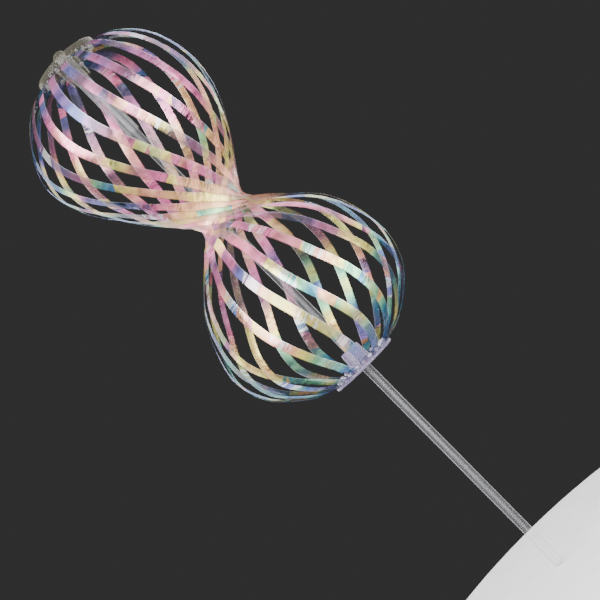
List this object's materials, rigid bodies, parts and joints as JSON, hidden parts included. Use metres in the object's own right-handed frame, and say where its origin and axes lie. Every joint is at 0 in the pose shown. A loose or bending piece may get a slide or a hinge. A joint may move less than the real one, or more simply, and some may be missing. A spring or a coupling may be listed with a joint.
{
  "type": "ribbon bubble wand",
  "caption": "Clear twirling rod with a fixed domed tip hub and a sliding, turning lower hub, joined by narrow iridescent film ribbons that bulge into a twisted hourglass cage.",
  "frame": {"origin": "centre of the flat end face of the rod's butt, at the handle end", "axes": "+Z along the rod from the butt to the tip; -Y is the front; the neck of the ribbon cage sways towards +X"},
  "size_m": [0.1094, 0.1094, 0.366],
  "materials": {
    "clear_rod": "clear, polished",
    "clear_hub": "clear, slightly cloudy moulding",
    "film": "iridescent film, pastel colours that change along each ribbon"
  },
  "bodies": {
    "wand": {"rod": "clear_rod", "top_hub": "clear_hub", "top_sleeve": "clear_rod", "ribbon_01": "film", "ribbon_02": "film", "ribbon_03": "film", "ribbon_04": "film", "ribbon_05": "film", "ribbon_06": "film", "ribbon_07": "film", "ribbon_08": "film", "ribbon_09": "film", "ribbon_10": "film", "ribbon_11": "film", "ribbon_12": "film", "ribbon_13": "film", "ribbon_14": "film", "ribbon_15": "film", "ribbon_16": "film", "ribbon_17": "film", "ribbon_18": "film", "ribbon_19": "film", "ribbon_20": "film"},
    "bush": {"lower_bush": "clear_rod"},
    "hub": {"lower_hub": "clear_hub"}
  },
  "joints": [
    {"name": "hub_slide", "type": "slide", "parent": "wand", "child": "bush", "axis": [0, 0, 1], "range_m": [-0.03, 0.04], "deforming": ["ribbon_01", "ribbon_02", "ribbon_03", "ribbon_04", "ribbon_05", "ribbon_06", "ribbon_07", "ribbon_08", "ribbon_09", "ribbon_10", "ribbon_11", "ribbon_12", "ribbon_13", "ribbon_14", "ribbon_15", "ribbon_16", "ribbon_17", "ribbon_18", "ribbon_19", "ribbon_20"]},
    {"name": "hub_turn", "type": "hinge", "parent": "bush", "child": "hub", "pos_m": [0, 0, 0.142], "axis": [0, 0, 1], "range_deg": [-90, 60]}
  ]
}
